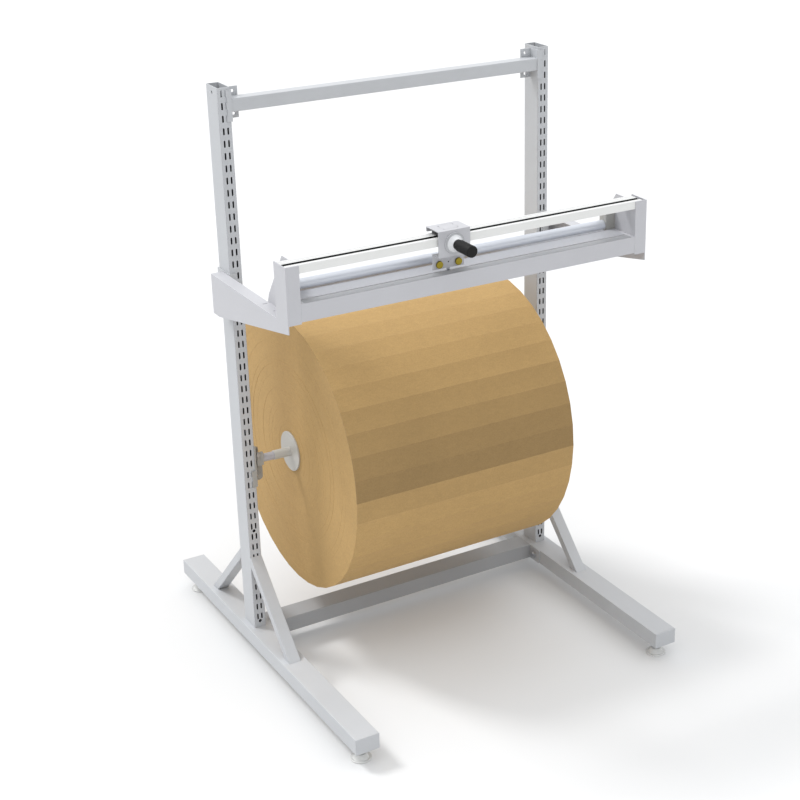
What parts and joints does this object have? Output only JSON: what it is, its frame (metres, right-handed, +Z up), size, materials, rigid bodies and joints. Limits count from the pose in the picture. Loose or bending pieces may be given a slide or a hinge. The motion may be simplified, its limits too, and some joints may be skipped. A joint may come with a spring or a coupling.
{
  "type": "bubble wrap cutter",
  "caption": "Free-standing steel stand that holds a wide roll of wrap on a shaft, with a guide tube, a slotted channel and a hand-pushed blade carriage on a rail to cut sheets.",
  "frame": {"origin": "on the floor, in the middle of the footprint", "axes": "+X to the right across the stand seen from the cutter's side, +Y from the cutter to the back, +Z up"},
  "size_m": [0.934, 1, 1.438],
  "materials": {
    "frame_paint": "satin powder coat, light grey",
    "bracket_paint": "satin powder coat, warm grey",
    "cutter_paint": "satin powder coat, light grey",
    "rail_metal": "clear anodised",
    "liner_plastic": "matt black",
    "chrome_tube": "polished",
    "bright_shaft": "ground bright",
    "zinc": "zinc plated",
    "blade_steel": "ground",
    "foot_plastic": "gloss white",
    "bush_plastic": "natural plastic",
    "flange_plastic": "satin light grey",
    "slide_plastic": "matt black",
    "boss_plastic": "gloss white",
    "grip_rubber": "matt black",
    "thumb_brass": "knurled",
    "kraft_wrap": "matt kraft",
    "core_board": "matt"
  },
  "bodies": {
    "frame": {"left_base_rail": "frame_paint", "right_base_rail": "frame_paint", "rail_end_caps": "frame_paint", "left_upright": "frame_paint", "right_upright": "frame_paint", "left_front_brace": "frame_paint", "right_front_brace": "frame_paint", "left_rear_brace": "frame_paint", "right_rear_brace": "frame_paint", "bottom_cross_beam": "frame_paint", "left_beam_plate": "frame_paint", "right_beam_plate": "frame_paint", "top_crossbar": "frame_paint", "left_crossbar_bracket": "frame_paint", "right_crossbar_bracket": "frame_paint", "left_arm_hook": "frame_paint", "right_arm_hook": "frame_paint", "left_shaft_bracket": "bracket_paint", "right_shaft_bracket": "bracket_paint", "left_shaft_clamp": "bracket_paint", "right_shaft_clamp": "bracket_paint", "left_bearing_bracket": "bracket_paint", "right_bearing_bracket": "bracket_paint", "left_arm": "cutter_paint", "right_arm": "cutter_paint", "lower_channel": "cutter_paint", "beam_bolts": "zinc", "foot_lock_nuts": "zinc", "foot_inserts": "zinc", "bracket_screws": "zinc", "axle_nuts": "zinc", "guide_axle": "zinc", "roll_shaft": "bright_shaft", "top_rail": "rail_metal", "rail_liner": "liner_plastic"},
    "roll": {"left_core_flange": "flange_plastic", "right_core_flange": "flange_plastic", "core_tube": "core_board", "wrap_roll": "kraft_wrap"},
    "guide_roller": {"guide_tube": "chrome_tube", "guide_bushes": "bush_plastic"},
    "carriage": {"carriage_plate": "cutter_paint", "slide_block": "slide_plastic", "carriage_screws": "zinc", "handle_boss": "boss_plastic", "handle_grip": "grip_rubber", "handle_bolt": "zinc", "cutter_blade": "blade_steel", "blade_clamp_bar": "zinc"},
    "left_thumb": {"left_thumb_screw": "thumb_brass"},
    "right_thumb": {"right_thumb_screw": "thumb_brass"},
    "front_left_foot": {"front_left_foot_pad": "foot_plastic", "front_left_foot_stem": "zinc"},
    "front_right_foot": {"front_right_foot_pad": "foot_plastic", "front_right_foot_stem": "zinc"},
    "rear_left_foot": {"rear_left_foot_pad": "foot_plastic", "rear_left_foot_stem": "zinc"},
    "rear_right_foot": {"rear_right_foot_pad": "foot_plastic", "rear_right_foot_stem": "zinc"}
  },
  "joints": [
    {"name": "carriage_slide", "type": "slide", "parent": "frame", "child": "carriage", "axis": [1, 0, 0], "range_m": [-0.3295, 0.4505]},
    {"name": "roll_spin", "type": "hinge", "parent": "frame", "child": "roll", "pos_m": [0, 0.0885, 0.526], "axis": [1, 0, 0], "continuous": true},
    {"name": "guide_spin", "type": "hinge", "parent": "frame", "child": "guide_roller", "pos_m": [0, -0.209, 1.059], "axis": [1, 0, 0], "continuous": true},
    {"name": "left_thumb_turn", "type": "hinge", "parent": "carriage", "child": "left_thumb", "pos_m": [-0.085, -0.28, 1.069], "axis": [0, -1, 0], "continuous": true},
    {"name": "right_thumb_turn", "type": "hinge", "parent": "carriage", "child": "right_thumb", "pos_m": [-0.036, -0.28, 1.069], "axis": [0, -1, 0], "continuous": true},
    {"name": "front_left_foot_turn", "type": "hinge", "parent": "frame", "child": "front_left_foot", "pos_m": [-0.42, -0.4625, 0], "axis": [0, 0, 1], "continuous": true},
    {"name": "front_right_foot_turn", "type": "hinge", "parent": "frame", "child": "front_right_foot", "pos_m": [0.42, -0.4625, 0], "axis": [0, 0, 1], "continuous": true},
    {"name": "rear_left_foot_turn", "type": "hinge", "parent": "frame", "child": "rear_left_foot", "pos_m": [-0.42, 0.4625, 0], "axis": [0, 0, 1], "continuous": true},
    {"name": "rear_right_foot_turn", "type": "hinge", "parent": "frame", "child": "rear_right_foot", "pos_m": [0.42, 0.4625, 0], "axis": [0, 0, 1], "continuous": true}
  ]
}
